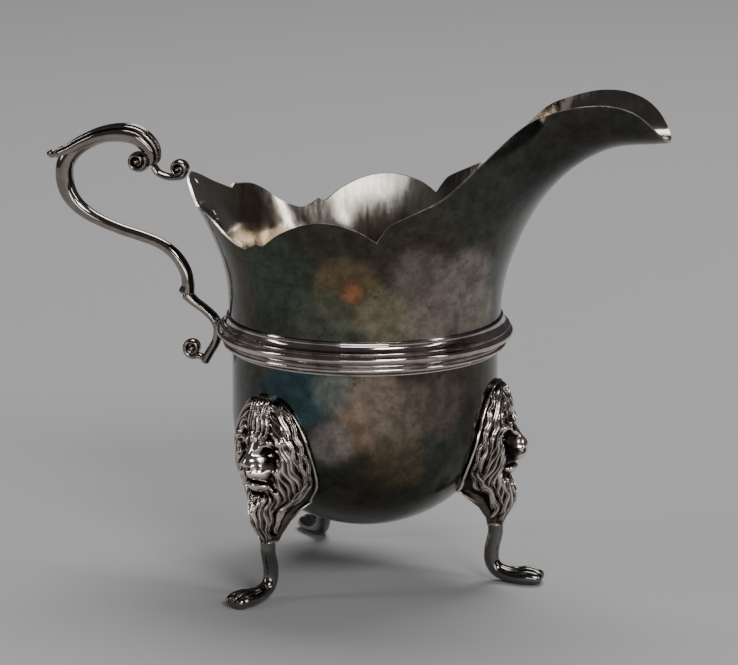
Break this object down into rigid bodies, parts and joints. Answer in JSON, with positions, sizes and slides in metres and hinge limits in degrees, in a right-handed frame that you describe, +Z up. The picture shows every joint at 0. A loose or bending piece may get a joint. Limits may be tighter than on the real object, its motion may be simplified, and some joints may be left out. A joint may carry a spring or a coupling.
{
  "type": "cream jug",
  "caption": "Silver helmet-shaped cream jug with a long pouring spout, scalloped rim, scroll handle with leaf cap, girdle moulding, and lion-mask legs with paw feet.",
  "frame": {"origin": "on the table under the axis of the round body", "axes": "+Z up along the body axis, +X towards the pouring spout, -X towards the handle, +Y to the left of somebody who pours"},
  "size_m": [0.1585, 0.0804, 0.1235],
  "materials": {
    "body_silver": "satin",
    "moulding_silver": "polished",
    "handle_silver": "gloss",
    "mask_silver": "gloss",
    "leg_silver": "gloss"
  },
  "bodies": {
    "root": {"bowl": "body_silver", "upper_body": "body_silver", "girdle_moulding": "moulding_silver", "handle_scroll": "handle_silver", "handle_leaf": "handle_silver", "rim_scroll": "handle_silver", "handle_bracket": "handle_silver", "bracket_curl": "handle_silver", "lion_mask_front": "mask_silver", "leg_front": "leg_silver", "lion_mask_left": "mask_silver", "leg_left": "leg_silver", "lion_mask_right": "mask_silver", "leg_right": "leg_silver"}
  },
  "joints": []
}
